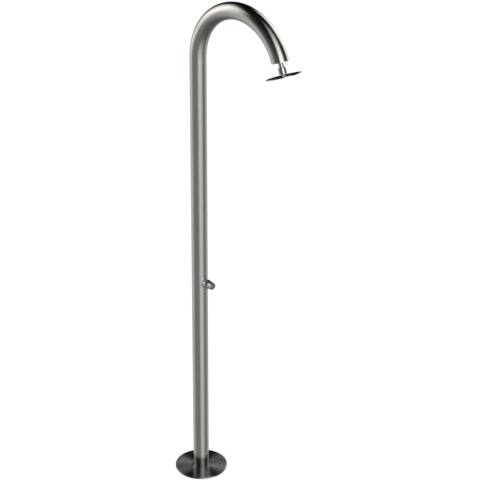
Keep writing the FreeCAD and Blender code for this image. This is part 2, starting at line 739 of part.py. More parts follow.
def make_valve_collar():
    """Tapered collar: thread inside the saddle, pocket for the button."""
    thread_start = less(SADDLE_FACE, size("collar_grip"))
    outline = [
        (NECK_R, thread_start),
        (COLLAR_THREAD_R, thread_start),
        (COLLAR_THREAD_R, SADDLE_FACE),
        (less(COLLAR_R, size("seam")), SADDLE_FACE),
        (COLLAR_R, add(SADDLE_FACE, size("seam"))),
        (add(POCKET_R, size("collar_lip")), COLLAR_FACE),
        (POCKET_R, COLLAR_FACE),
        (POCKET_R, POCKET_FLOOR),
        (NECK_R, POCKET_FLOOR),
    ]
    return in_valve(turned("valve_collar", outline))


def make_cartridge():
    """Plastic sleeve with its O-rings and rod seals."""
    rear_web = SPRING_REAR
    front_web = PISTON_STOP
    seal_starts = [add(SLEEVE_REAR, SEAL_CENTRING), add(front_web, SEAL_CENTRING)]
    ring_starts = [
        add(SLEEVE_REAR, size("ring_inset")),
        less(SLEEVE_FRONT, size("ring_inset"), size("ring_width")),
    ]
    groove_r = less(SLEEVE_R, size("ring_depth"))
    outline = [(ROD_HOLE_R, SLEEVE_REAR), (SLEEVE_R, SLEEVE_REAR)]
    for start in ring_starts:
        end = add(start, size("ring_width"))
        outline += [(SLEEVE_R, start), (groove_r, start), (groove_r, end), (SLEEVE_R, end)]
    outline += [(SLEEVE_R, SLEEVE_FRONT), (ROD_HOLE_R, SLEEVE_FRONT)]
    for start in reversed(seal_starts):
        end = add(start, size("rod_seal_width"))
        outline += [(ROD_HOLE_R, end), (ROD_SEAL_R, end), (ROD_SEAL_R, start), (ROD_HOLE_R, start)]
        if start is seal_starts[1]:
            outline += [(ROD_HOLE_R, front_web), (SLEEVE_BORE_R, front_web)]
            outline += [(SLEEVE_BORE_R, rear_web), (ROD_HOLE_R, rear_web)]
    sleeve = in_valve(turned("cartridge_sleeve", outline))
    rings = []
    for number, start in enumerate(ring_starts, start=1):
        end = add(start, size("ring_width"))
        rings.append(in_valve(ring(f"sleeve_o_ring_{number}", groove_r, NECK_BORE_R, start, end)))
    seals = []
    for number, start in enumerate(seal_starts, start=1):
        end = add(start, size("rod_seal_width"))
        seals.append(in_valve(ring(f"rod_seal_{number}", ROD_HOLE_R, ROD_SEAL_R, start, end)))
    return [sleeve, group("sleeve_o_rings", rings), group("rod_seals", seals)]


def make_plunger():
    """Rod from the button to the seat, with the piston and what shuts the seat."""
    outline = [
        ("0", ROD_REAR),
        (TIP_R, ROD_REAR),
        (TIP_R, DISC_FRONT),
        (ROD_R, DISC_FRONT),
        (ROD_R, ROD_FRONT),
        (SCREW_R, ROD_FRONT),
        (SCREW_R, SCREW_END),
        ("0", SCREW_END),
    ]
    rod = in_valve(turned("plunger_rod", outline))
    groove_end = add(PISTON_GROOVE_REAR, size("ring_width"))
    outline = [
        (ROD_R, PISTON_REAR),
        (PISTON_R, PISTON_REAR),
        (PISTON_R, PISTON_GROOVE_REAR),
        (PISTON_GROOVE_R, PISTON_GROOVE_REAR),
        (PISTON_GROOVE_R, groove_end),
        (PISTON_R, groove_end),
        (PISTON_R, PISTON_FRONT),
        (ROD_R, PISTON_FRONT),
    ]
    piston = in_valve(turned("piston", outline))
    seal_r = less(SLEEVE_BORE_R, size("slip_gap"))
    seal = in_valve(ring("piston_seal", PISTON_GROOVE_R, seal_r, PISTON_GROOVE_REAR, groove_end))
    disc = in_valve(ring("valve_disc", TIP_R, DISC_R, DISC_REAR, DISC_FRONT))
    washer = in_valve(ring("disc_washer", TIP_R, SEAT_R, WASHER_REAR, DISC_REAR))
    hexagon = in_valve(prism(size("disc_nut_flats"), size("disc_nut_thick")), DISC_NUT_REAR)
    nut = cut("disc_nut", hexagon, valve_cylinder(TIP_R, DISC_NUT_REAR, WASHER_REAR))
    return [rod, piston, seal, disc, washer, nut]


def make_return_spring():
    """Coil spring round the rod, between the sleeve's rear wall and the piston."""
    wire_r = half("spring_wire")
    height = less(PISTON_REAR, SPRING_REAR, size("spring_wire"))
    helix = DOC.addObject("Part::Helix", "SpringLine")
    helix.setExpression("Radius", half("spring_mean"))
    helix.setExpression("Height", height)
    helix.setExpression("Pitch", f"({height} / Sizes.spring_turns)")
    section = DOC.addObject("Part::Circle", "SpringSection")
    section.setExpression("Radius", wire_r)
    section.Placement = FreeCAD.Placement(V(0, 0, 0), FreeCAD.Rotation(V(1, 0, 0), 90))
    section.setExpression("Placement.Base.x", half("spring_mean"))
    spring = DOC.addObject("Part::Sweep", "return_spring")
    spring.Label = "return_spring"
    spring.Sections = [section]
    spring.Spine = (helix, [])
    spring.Solid = True
    spring.Frenet = True
    return in_valve(spring, add(SPRING_REAR, wire_r))


def make_button():
    """Button shell with a boss on the rod, its screw and its round insert."""
    insert_r = half("insert_dia")
    outline = [
        (BUTTON_IN_R, BUTTON_REAR),
        (BUTTON_R, BUTTON_REAR),
        (BUTTON_R, BUTTON_FACE),
        (insert_r, BUTTON_FACE),
        (insert_r, INSERT_BACK),
        (HEAD_ROOM_R, INSERT_BACK),
        (HEAD_ROOM_R, SCREW_SEAT),
        (SCREW_R, SCREW_SEAT),
        (SCREW_R, ROD_FRONT),
        (ROD_R, ROD_FRONT),
        (ROD_R, BOSS_REAR),
        (BOSS_R, BOSS_REAR),
        (BOSS_R, BUTTON_IN),
        (BUTTON_IN_R, BUTTON_IN),
    ]
    shell = turned("push_button", outline)
    round_rim(shell, size("button_round"))
    in_valve(shell)
    insert = in_valve(drum("button_insert", insert_r, INSERT_BACK, BUTTON_FACE))
    head_end = add(SCREW_SEAT, size("screw_head_thick"))
    outline = [
        ("0", SCREW_END),
        (SCREW_R, SCREW_END),
        (SCREW_R, SCREW_SEAT),
        (HEAD_R, SCREW_SEAT),
        (HEAD_R, head_end),
        ("0", head_end),
    ]
    blank = in_valve(turned("button_screw_blank", outline))
    depth = half("screw_head_thick")
    socket = in_valve(prism(size("screw_socket"), depth), less(head_end, depth))
    return [shell, insert, cut("button_screw", blank, socket)]


def make_hose_tail(number):
    """Barbed tail with a flange that the nut pulls on to the port."""
    outline = [
        (TAIL_BORE_R, size("washer_thick")),
        (TAIL_FLANGE_R, size("washer_thick")),
        (TAIL_FLANGE_R, TAIL_SEAT),
        (TAIL_NECK_R, TAIL_SEAT),
        (TAIL_NECK_R, size("tail_length")),
        (BARB_R, size("tail_length")),
        (BARB_R, TAIL_END),
        (TAIL_BORE_R, TAIL_END),
    ]
    return turned(f"hose_tail_{number}", outline)


def make_hose_nut(number):
    """Hexagon nut: thread over the port, end wall behind the tail's flange."""
    grip = minus(size("nut_grip"))
    hexagon = prism(size("nut_flats"), add(size("nut_grip"), TAIL_SEAT, size("nut_web")))
    hexagon.setExpression("Placement.Base.z", grip)
    thread = cylinder(PORT_R, add(size("nut_grip"), TAIL_SEAT), ("0", "0", grip))
    hole = cylinder(add(TAIL_NECK_R, size("nut_neck_gap")), size("nut_web"), ("0", "0", TAIL_SEAT))
    return cut(f"hose_nut_{number}", hexagon, thread, hole)


def make_ferrule(number):
    """Crimped ferrule, drawn from the end of the hose."""
    lip = minus(size("ferrule_lip"))
    outline = [
        (TAIL_NECK_R, lip),
        (FERRULE_R, lip),
        (FERRULE_R, size("barb_length")),
        (HOSE_R, size("barb_length")),
        (HOSE_R, "0"),
        (TAIL_NECK_R, "0"),
    ]
    return turned(f"hose_ferrule_{number}", outline)


def make_hose_ends():
    """Tails, nuts, washers and ferrules at the valve's two ports and at the nipple."""
    ports = [
        (("0", "0", less(VALVE_Z, size("port_reach"))), "180 deg"),
        (("0", "0", add(VALVE_Z, size("port_reach"))), None),
        (along_arm(NIPPLE_REAR), "(Sizes.bend_angle + 180)"),
    ]
    ends = [
        (("0", "0", SUPPLY_START), None),
        (("0", "0", SUPPLY_END), "180 deg"),
        (("0", "0", RISER_START), None),
        (along_arm(minus(RISER_STRAIGHT)), "(Sizes.bend_angle + 180)"),
    ]
    tails = []
    nuts = []
    washers = []
    for number, (at, turn) in enumerate(ports, start=1):
        tails.append(stand(make_hose_tail(number), at, turn))
        nuts.append(stand(group(f"nut_{number}", [make_hose_nut(number)]), at, turn))
        flat = ring(f"washer_{number}", half("washer_bore"), TAIL_FLANGE_R, "0", size("washer_thick"))
        washers.append(stand(flat, at, turn))
    ferrules = []
    for number, (at, turn) in enumerate(ends, start=1):
        ferrules.append(stand(make_ferrule(number), at, turn))
    return [
        group("hose_tails", tails),
        group("hose_nuts", nuts),
        group("hose_washers", washers),
        group("hose_ferrules", ferrules),
    ]


def make_inlet_tail():
    """Lower end of the supply hose: male thread, hexagon and barb."""
    thread = cylinder(PORT_R, size("inlet_thread"), ("0", "0", size("inlet_lift")))
    hexagon = prism(size("inlet_flats"), size("inlet_hex"))
    hexagon.setExpression("Placement.Base.z", INLET_HEX)
    neck = cylinder(TAIL_NECK_R, size("inlet_neck"), ("0", "0", INLET_NECK))
    barb = cylinder(BARB_R, size("barb_length"), ("0", "0", SUPPLY_START))
    length = less(add(SUPPLY_START, size("barb_length")), size("inlet_lift"))
    bore = cylinder(TAIL_BORE_R, length, ("0", "0", size("inlet_lift")))
    return cut("inlet_tail", fuse("inlet_tail_blank", thread, hexagon, neck, barb), bore)


def riser_bar(label, radius):
    """Round bar along the riser's whole route."""
    start_x = f"(Sizes.bend_radius * (1 - cos({RISER_FIRST_TURN})))"
    start_z = f"(Sizes.straight_run + Sizes.bend_radius * sin({RISER_FIRST_TURN}))"
    end_x = f"({start_x} + {RISER_STRAIGHT} * sin({RISER_FIRST_TURN}))"
    end_z = f"({start_z} + {RISER_STRAIGHT} * cos({RISER_FIRST_TURN}))"
    top = ("0", "0", size("straight_run"))
    run = cylinder(radius, less(size("straight_run"), RISER_START), ("0", "0", RISER_START))
    arc = bend(radius, size("bend_radius"), RISER_FIRST_TURN, top, None)
    link = cylinder(radius, RISER_STRAIGHT, (start_x, "0", start_z), RISER_FIRST_TURN)
    last = bend(radius, size("hose_turn"), RISER_LAST_TURN, (end_x, "0", end_z), RISER_FIRST_TURN)
    return fuse(label, run, arc, link, last)


def make_hoses():
    """Supply hose up to the valve, and riser round the bend to the nipple."""
    supply = ring("supply_hose", BARB_R, HOSE_R, SUPPLY_START, SUPPLY_END)
    outside = riser_bar("riser_outside", HOSE_R)
    inside = riser_bar("riser_inside", BARB_R)
    return [supply, cut("riser_hose", outside, inside)]


def make_arm_end():
    """End disc, nipple and the nut that holds the ball."""
    cap = on_arm(ring("arm_end_cap", PORT_R, POST_BORE_R, minus(size("cap_thick")), "0"))
    flange_r = half("nipple_flange")
    flange_end = minus(size("cap_thick"))
    flange_start = less(flange_end, size("nipple_flange_thick"))
    outline = [
        (NIPPLE_BORE_R, NIPPLE_REAR),
        (PORT_R, NIPPLE_REAR),
        (PORT_R, flange_start),
        (flange_r, flange_start),
        (flange_r, flange_end),
        (PORT_R, flange_end),
        (PORT_R, NIPPLE_END),
        (NIPPLE_BORE_R, NIPPLE_END),
    ]
    nipple = on_arm(turned("outlet_nipple", outline))
    ledge = less(BALL_AT, size("ball_ledge"))
    edge_r = less(NUT_R, size("nut_edge"))
    outline = [
        (PORT_R, size("nut_start")),
        (edge_r, size("nut_start")),
        (NUT_R, add(size("nut_start"), size("nut_edge"))),
        (NUT_R, less(NUT_END, size("nut_edge"))),
        (edge_r, NUT_END),
        (add(LIP_R, size("lip_flare")), NUT_END),
        (LIP_R, LIP_END),
        (LIP_R, ledge),
        (PORT_R, ledge),
    ]
    blank = on_arm(turned("swivel_nut_blank", outline))
    return [cap, nipple, cut("swivel_nut", blank, sphere(BALL_SEAT_R))]


def make_ball_joint():
    """Ring above the ball, and the ball with its hollow neck."""
    seat_start = add(NIPPLE_END, size("seat_ring_gap"))
    seat_end = add(seat_start, size("seat_ring_length"))
    seat_r = less(PORT_R, size("seat_ring_gap"))
    blank = on_arm(ring("ball_seat_blank", half("seat_ring_bore"), seat_r, seat_start, seat_end))
    seat = cut("ball_seat", blank, sphere(BALL_SEAT_R))
    neck = on_arm(drum("ball_neck", STEM_R, BALL_AT, HUB_END))
    water = on_arm(drum("ball_water_way", half("stem_bore"), NIPPLE_END, HUB_END))
    stem = cut("ball_stem", fuse("ball_stem_blank", sphere(BALL_R), neck), water)
    return [seat, stem]


def make_head_shell():
    """Hub and back plate of the shower head."""
    flange_r = half("hub_flange")
    hub_top = less(HEAD_TOP, size("hub_rise"))
    outline = [
        (STEM_R, hub_top),
        (HUB_R, hub_top),
        (HUB_R, HEAD_UNDER_TOP),
        (flange_r, HEAD_UNDER_TOP),
        (flange_r, HUB_END),
        (STEM_R, HUB_END),
    ]
    hub = on_arm(turned("head_hub", outline))
    outline = [
        (HUB_R, HEAD_TOP),
        (less(PLATE_R, size("head_edge")), HEAD_TOP),
        (PLATE_R, add(HEAD_TOP, size("head_edge"))),
        (PLATE_R, HEAD_RIM),
        (FACE_R, HEAD_RIM),
        (FACE_R, HEAD_UNDER_TOP),
        (HUB_R, HEAD_UNDER_TOP),
    ]
    return [hub, on_arm(turned("back_plate", outline))]


def drill_rings(body, radius):
    """Cut a hole at every nozzle's place."""
    for ring_number in range(1, whole("nozzle_rings") + 1):
        sketch = new_sketch(body)
        draw_circle(sketch, radius, f"({ring_number} * Sizes.nozzle_pitch)")
        hole = pocket_through(body, sketch)
        repeat_round(body, hole, ring_number * whole("nozzle_first"))


def make_face():
    """Drilled face plate, and the silicone mat whose nozzles pass through it."""
    plate = new_body("face_plate")
    disc = new_sketch(plate)
    draw_circle(disc, FACE_R)
    pad(plate, disc, size("head_sheet"))
    drill_rings(plate, half("nozzle_dia"))
    on_arm(plate, FACE_TOP)
    mat = new_body("nozzle_mat")
    sheet = new_sketch(mat)
    draw_circle(sheet, less(FACE_R, size("mat_margin")))
    pad(mat, sheet, size("mat_thick"))
    reach = add(size("mat_thick"), size("head_sheet"), size("nozzle_reach"))
    for ring_number in range(1, whole("nozzle_rings") + 1):
        sketch = new_sketch(mat)
        draw_circle(sketch, half("nozzle_dia"), f"({ring_number} * Sizes.nozzle_pitch)")
        nozzle = pad(mat, sketch, reach)
        repeat_round(mat, nozzle, ring_number * whole("nozzle_first"))
    drill_rings(mat, half("nozzle_bore"))
    on_arm(mat, MAT_TOP)
    return [plate, mat]


def build():
    """Make every piece and return the objects that are separate nodes."""
    nodes = [make_post_tube(), make_base_flange(), make_base_cover(), make_cover_seal()]
    nodes += [make_valve_body(), make_valve_gasket(), make_valve_saddle(), make_valve_collar()]
    nodes += make_valve_neck()
    nodes += make_cartridge()
    nodes += make_plunger()
    nodes += make_button()
    nodes += [make_return_spring(), make_inlet_tail()]
    nodes += make_hoses()
    nodes += make_hose_ends()
    nodes += make_arm_end()
    nodes += make_ball_joint()
    nodes += make_head_shell()
    nodes += make_face()
    DOC.recompute()
    return nodes


def check(nodes):
    """Stop if any object failed or any piece isn't a sound solid."""
    for item in DOC.Objects:
        if "Invalid" in item.State or "Error" in item.State:
            raise RuntimeError(f"{item.Label} failed: {item.State}")
    for node in nodes:
        if node.Shape.isNull() or not node.Shape.isValid() or not node.Shape.Solids:
            raise RuntimeError(f"{node.Label} has no sound solid")


def write_out(nodes):
    """Write each piece to its own file."""
    os.makedirs("parts", exist_ok=True)
    for node in nodes:
        node.Shape.exportStep(f"parts/{node.Label}.step")
        box = node.Shape.BoundBox
        print(f"{node.Label}: {len(node.Shape.Solids)} solids, {node.Shape.Volume:.1f} mm3,"
              f" x {box.XMin:.2f}..{box.XMax:.2f}, z {box.ZMin:.2f}..{box.ZMax:.2f}")


write_sheet()
NODES = build()
check(NODES)
write_out(NODES)
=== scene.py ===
"""Outdoor shower post: satin steel tube on a round foot, chrome push valve and slim rain head."""
import json
import math

import bpy
from mathutils import Matrix, Vector


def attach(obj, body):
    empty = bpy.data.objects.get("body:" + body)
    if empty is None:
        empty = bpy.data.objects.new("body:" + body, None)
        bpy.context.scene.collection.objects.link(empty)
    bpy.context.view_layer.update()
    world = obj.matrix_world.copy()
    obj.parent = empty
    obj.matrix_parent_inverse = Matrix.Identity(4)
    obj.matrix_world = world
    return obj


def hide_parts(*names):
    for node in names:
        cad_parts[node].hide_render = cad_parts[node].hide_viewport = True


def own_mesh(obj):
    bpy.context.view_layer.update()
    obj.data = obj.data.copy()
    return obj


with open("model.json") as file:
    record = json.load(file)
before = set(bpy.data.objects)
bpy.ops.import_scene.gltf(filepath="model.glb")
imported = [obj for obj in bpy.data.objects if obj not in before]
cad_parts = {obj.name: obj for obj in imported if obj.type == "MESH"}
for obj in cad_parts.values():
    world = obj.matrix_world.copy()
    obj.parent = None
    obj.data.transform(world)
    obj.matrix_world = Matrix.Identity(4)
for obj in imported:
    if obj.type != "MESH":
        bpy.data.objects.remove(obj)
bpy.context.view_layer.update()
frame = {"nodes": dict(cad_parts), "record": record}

MM = 0.001
NODES = frame["nodes"]
SLOTS = {part["node"]: part["material_slot"] for part in frame["record"]["subparts"]}

# Tube, in metres
TUBE_R = 35 * MM
TUBE_WALL = 2 * MM
TUBE_FOOT = 6 * MM
BEND_START = 1960 * MM
BEND_R = 235 * MM
BEND_TURN = math.radians(160)
VALVE_HEIGHT = 950 * MM

# Middle of the arm's end face
ARM_END = Vector((BEND_R * (1 - math.cos(BEND_TURN)), 0,
                  BEND_START + BEND_R * math.sin(BEND_TURN)))

SMOOTH_ANGLE = math.radians(32)
QUARTER_TURN = math.radians(90)
WELD_DISTANCE = 0.0005 * MM
BROKEN_EDGE_STEPS = 2
SHARP_ANGLE = math.radians(40)


# ---------------------------------------------------------------- modelling helpers

def rest_hands():
    """Object mode with nothing selected."""
    if bpy.context.object and bpy.context.object.mode != "OBJECT":
        bpy.ops.object.mode_set(mode="OBJECT")
    bpy.ops.object.select_all(action="DESELECT")


def take(piece):
    """Make one piece the only one selected."""
    rest_hands()
    piece.select_set(True)
    bpy.context.view_layer.objects.active = piece


def pull_ring(start, end):
    """Extrude the selected ring from one (radius, height) to the next, in metres."""
    bpy.ops.mesh.extrude_region_move(TRANSFORM_OT_translate={"value": (0, 0, end[1] - start[1])})
    ratio = end[0] / start[0]
    bpy.ops.transform.resize(value=(ratio, ratio, 1), center_override=(0, 0, end[1]))


def turned(name, profile, sides=96, closed=True):
    """A turned piece: a ring pulled along a profile of (radius, height) in millimetres."""
    rest_hands()
    points = [(radius * MM, height * MM) for radius, height in profile]
    if closed:
        points.append(points[0])
    bpy.ops.mesh.primitive_circle_add(vertices=sides, radius=points[0][0],
                                      location=(0, 0, points[0][1]))
    piece = bpy.context.object
    piece.name = name
    bpy.ops.object.transform_apply(location=True, rotation=True, scale=True)
    bpy.ops.object.mode_set(mode="EDIT")
    bpy.ops.mesh.select_all(action="SELECT")
    if not closed:
        bpy.ops.mesh.edge_face_add()
        bpy.ops.mesh.select_all(action="SELECT")
    for start, end in zip(points, points[1:]):
        pull_ring(start, end)
    bpy.ops.mesh.select_all(action="SELECT")
    bpy.ops.mesh.remove_doubles(threshold=WELD_DISTANCE)
    bpy.ops.mesh.normals_make_consistent(inside=False)
    bpy.ops.object.mode_set(mode="OBJECT")
    return piece


def break_edges(piece, width):
    """Bevel the sharp edges, by a width in millimetres."""
    take(piece)
    bevel = piece.modifiers.new("Broken edges", "BEVEL")
    bevel.width = width * MM
    bevel.segments = BROKEN_EDGE_STEPS
    bevel.limit_method = "ANGLE"
    bevel.angle_limit = SHARP_ANGLE
    bpy.ops.object.modifier_apply(modifier=bevel.name)


def put(piece, at, lean=0.0):
    """Move a piece made about Z to its place, and keep the place in its mesh."""
    take(piece)
    piece.location = at
    piece.rotation_euler = (0, lean, 0)
    bpy.ops.object.transform_apply(location=True, rotation=True, scale=True)


def on_valve(piece):
    """The piece's Z becomes the button's axis."""
    put(piece, (0, 0, VALVE_HEIGHT), QUARTER_TURN)


def on_arm(piece):
    """The piece's Z becomes the arm's direction, from its end face."""
    put(piece, ARM_END, BEND_TURN)


def cut(piece, cutter):
    """Cut one piece out of another and throw the cutter away."""
    take(piece)
    shave = piece.modifiers.new("Cut", "BOOLEAN")
    shave.operation = "DIFFERENCE"
    shave.object = cutter
    bpy.ops.object.modifier_apply(modifier=shave.name)
    bpy.data.objects.remove(cutter)


def dress(piece, node, body, finish):
    """Smooth a finished piece, give it its material and let it stand for its CAD node."""
    take(piece)
    bpy.ops.object.shade_smooth_by_angle(angle=SMOOTH_ANGLE)
    flats = piece.modifiers.new("Flat faces stay flat", "WEIGHTED_NORMAL")
    flats.keep_sharp = True
    bpy.ops.object.modifier_apply(modifier=flats.name)
    piece.data.materials.clear()
    piece.data.materials.append(finish)
    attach(piece, body)
    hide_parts(node)


# ---------------------------------------------------------------- finishes

# Where most of a noise's values lie
NOISE_LOW = 0.32
NOISE_HIGH = 0.68

# Brushing: how fine it is across the grain, to the metre, and how deep, in metres
BRUSH_LINES = 620
BRUSH_DETAIL = 6
BRUSH_ROUGHNESS = 0.75
BRUSH_DEPTH = 0.00005

# Tube: its grain and larger clouds along and across, and what they change
TUBE_GRAIN = (7, BRUSH_LINES, 1)
TUBE_CLOUD = (3, 14, 1)
TUBE_GRAIN_SHARE = 0.6
TUBE_CLOUD_SHARE = 0.4
TUBE_TONES = ((0.525, 0.503, 0.47), (0.665, 0.643, 0.608))
TUBE_ROUGHNESS = (0.12, 0.21)
TUBE_BUMP = 0.06
TUBE_ANISOTROPY = 0.4

# Cover: the same for its grain in circles
COVER_GRAIN_ROUND = 1.2
COVER_TONES = ((0.33, 0.325, 0.31), (0.57, 0.56, 0.54))
COVER_ROUGHNESS = (0.32, 0.43)
COVER_BUMP = 0.05
COVER_ANISOTROPY = 0.95

# Smears on polished metal, to the metre
SMEARS = 45

# Braid of the hoses
BRAID_LEAN = 35
BRAID_BANDS = 180
BRAID_TONES = ((0.16, 0.16, 0.16), (0.62, 0.62, 0.63))
BRAID_BUMP = 0.6
BRAID_DEPTH = 0.0004


def blank_finish(name):
    """A material with a Principled shader."""
    finish = bpy.data.materials.new(name)
    finish.use_nodes = True
    nodes = finish.node_tree.nodes
    links = finish.node_tree.links
    return finish, nodes, links, nodes["Principled BSDF"]


def math_node(nodes, links, operation, *values):
    """A Math node on sockets or numbers."""
    node = nodes.new("ShaderNodeMath")
    node.operation = operation
    for socket, value in zip(node.inputs, values):
        if isinstance(value, (int, float)):
            socket.default_value = value
        else:
            links.new(value, socket)
    return node.outputs[0]


def spread(nodes, links, value, low, high):
    """Map a 0 to 1 value to a range."""
    node = nodes.new("ShaderNodeMapRange")
    links.new(value, node.inputs["Value"])
    node.inputs["To Min"].default_value = low
    node.inputs["To Max"].default_value = high
    return node.outputs["Result"]


def contrasted(nodes, links, value):
    """Open a noise's narrow middle out to 0 to 1."""
    node = nodes.new("ShaderNodeMapRange")
    links.new(value, node.inputs["Value"])
    node.inputs["From Min"].default_value = NOISE_LOW
    node.inputs["From Max"].default_value = NOISE_HIGH
    return node.outputs["Result"]


def shades(nodes, links, value, dark, light):
    """Colour between two tones."""
    node = nodes.new("ShaderNodeMix")
    node.data_type = "RGBA"
    links.new(value, node.inputs["Factor"])
    node.inputs["A"].default_value = (*dark, 1)
    node.inputs["B"].default_value = (*light, 1)
    return node.outputs["Result"]


def noise(nodes, links, vector, scale, detail=3.0, rough=0.55):
    """Noise on a vector."""
    node = nodes.new("ShaderNodeTexNoise")
    links.new(vector, node.inputs["Vector"])
    node.inputs["Scale"].default_value = scale
    node.inputs["Detail"].default_value = detail
    node.inputs["Roughness"].default_value = rough
    return node.outputs["Fac"]


def stretched(nodes, links, vector, scale):
    """A vector scaled differently along its axes."""
    node = nodes.new("ShaderNodeMapping")
    links.new(vector, node.inputs["Vector"])
    node.inputs["Scale"].default_value = scale
    return node.outputs["Vector"]


def bump(nodes, links, height, strength, distance):
    """Bump from a height."""
    node = nodes.new("ShaderNodeBump")
    links.new(height, node.inputs["Height"])
    node.inputs["Strength"].default_value = strength
    node.inputs["Distance"].default_value = distance
    return node.outputs["Normal"]


def object_place(nodes):
    """Object coordinates."""
    return nodes.new("ShaderNodeTexCoord").outputs["Object"]


def satin_tube_finish():
    """Stainless tube brushed along its length, on the tube's own unrolled map."""
    finish, nodes, links, shader = blank_finish("satin_tube")
    unrolled = nodes.new("ShaderNodeUVMap")
    unrolled.uv_map = "unrolled"
    drawn = stretched(nodes, links, unrolled.outputs["UV"], TUBE_GRAIN)
    grain = contrasted(nodes, links,
                       noise(nodes, links, drawn, 1, BRUSH_DETAIL, BRUSH_ROUGHNESS))
    cloud = noise(nodes, links, stretched(nodes, links, unrolled.outputs["UV"], TUBE_CLOUD), 1)
    mixed = math_node(nodes, links, "MULTIPLY_ADD", grain, TUBE_GRAIN_SHARE,
                      math_node(nodes, links, "MULTIPLY", cloud, TUBE_CLOUD_SHARE))
    links.new(shades(nodes, links, mixed, *TUBE_TONES), shader.inputs["Base Color"])
    links.new(spread(nodes, links, mixed, *TUBE_ROUGHNESS), shader.inputs["Roughness"])
    links.new(bump(nodes, links, grain, TUBE_BUMP, BRUSH_DEPTH), shader.inputs["Normal"])
    shader.inputs["Metallic"].default_value = 1
    shader.inputs["Anisotropic"].default_value = TUBE_ANISOTROPY
    tangent = nodes.new("ShaderNodeTangent")
    tangent.direction_type = "UV_MAP"
    tangent.uv_map = "unrolled"
    links.new(tangent.outputs["Tangent"], shader.inputs["Tangent"])
    return finish


def round_brushed_finish():
    """Stainless disc brushed in circles about the post."""
    finish, nodes, links, shader = blank_finish("round_brushed")
    place = object_place(nodes)
    parts = nodes.new("ShaderNodeSeparateXYZ")
    links.new(place, parts.inputs["Vector"])
    flat = nodes.new("ShaderNodeCombineXYZ")
    links.new(parts.outputs["X"], flat.inputs["X"])
    links.new(parts.outputs["Y"], flat.inputs["Y"])
    length = nodes.new("ShaderNodeVectorMath")
    length.operation = "LENGTH"
    links.new(flat.outputs["Vector"], length.inputs[0])
    angle = math_node(nodes, links, "ARCTAN2", parts.outputs["Y"], parts.outputs["X"])
    polar = nodes.new("ShaderNodeCombineXYZ")
    links.new(math_node(nodes, links, "MULTIPLY", length.outputs["Value"], BRUSH_LINES),
              polar.inputs["X"])
    links.new(math_node(nodes, links, "MULTIPLY", angle, COVER_GRAIN_ROUND), polar.inputs["Y"])
    grain = contrasted(nodes, links, noise(nodes, links, polar.outputs["Vector"], 1,
                                           BRUSH_DETAIL, BRUSH_ROUGHNESS))
    links.new(shades(nodes, links, grain, *COVER_TONES), shader.inputs["Base Color"])
    links.new(spread(nodes, links, grain, *COVER_ROUGHNESS), shader.inputs["Roughness"])
    links.new(bump(nodes, links, grain, COVER_BUMP, BRUSH_DEPTH), shader.inputs["Normal"])
    shader.inputs["Metallic"].default_value = 1
    shader.inputs["Anisotropic"].default_value = COVER_ANISOTROPY
    shader.inputs["Anisotropic Rotation"].default_value = 0.25
    tangent = nodes.new("ShaderNodeTangent")
    tangent.direction_type = "RADIAL"
    tangent.axis = "Z"
    links.new(tangent.outputs["Tangent"], shader.inputs["Tangent"])
    return finish


def polished_finish(name, dark, light, smooth, rough):
    """Polished metal with faint smears."""
    finish, nodes, links, shader = blank_finish(name)
    place = object_place(nodes)
    smear = noise(nodes, links, place, SMEARS, 4)
    links.new(shades(nodes, links, smear, dark, light), shader.inputs["Base Color"])
    links.new(spread(nodes, links, smear, smooth, rough), shader.inputs["Roughness"])
    shader.inputs["Metallic"].default_value = 1
    return finish


def worked_metal_finish(name, dark, light, smooth, rough, scale):
    """Plain turned or drawn metal with fine marks."""
    finish, nodes, links, shader = blank_finish(name)
    place = object_place(nodes)
    marks = noise(nodes, links, place, scale, 5)
    links.new(shades(nodes, links, marks, dark, light), shader.inputs["Base Color"])
    links.new(spread(nodes, links, marks, smooth, rough), shader.inputs["Roughness"])
    links.new(bump(nodes, links, marks, 0.15, 0.0001), shader.inputs["Normal"])
    shader.inputs["Metallic"].default_value = 1
    return finish


def moulded_finish(name, dark, light, smooth, rough, scale, depth):
    """Rubber, silicone or plastic with a fine moulded skin."""
    finish, nodes, links, shader = blank_finish(name)
    place = object_place(nodes)
    skin = noise(nodes, links, place, scale, 4)
    links.new(shades(nodes, links, skin, dark, light), shader.inputs["Base Color"])
    links.new(spread(nodes, links, skin, smooth, rough), shader.inputs["Roughness"])
    links.new(bump(nodes, links, skin, 0.3, depth), shader.inputs["Normal"])
    return finish


def braid_finish():
    """Steel wire braid: two crossing sets of fine bands."""
    finish, nodes, links, shader = blank_finish("wire_braid")
    place = object_place(nodes)
    bands = []
    for lean in (BRAID_LEAN, -BRAID_LEAN):
        turn = nodes.new("ShaderNodeMapping")
        links.new(place, turn.inputs["Vector"])
        turn.inputs["Rotation"].default_value = (math.radians(lean), math.radians(lean), 0)
        wave = nodes.new("ShaderNodeTexWave")
        wave.bands_direction = "Z"
        wave.inputs["Scale"].default_value = BRAID_BANDS
        links.new(turn.outputs["Vector"], wave.inputs["Vector"])
        bands.append(wave.outputs["Fac"])
    weave = math_node(nodes, links, "MULTIPLY", bands[0], bands[1])
    links.new(shades(nodes, links, weave, *BRAID_TONES), shader.inputs["Base Color"])
    links.new(bump(nodes, links, weave, BRAID_BUMP, BRAID_DEPTH), shader.inputs["Normal"])
    shader.inputs["Metallic"].default_value = 0.8
    shader.inputs["Roughness"].default_value = 0.35
    return finish


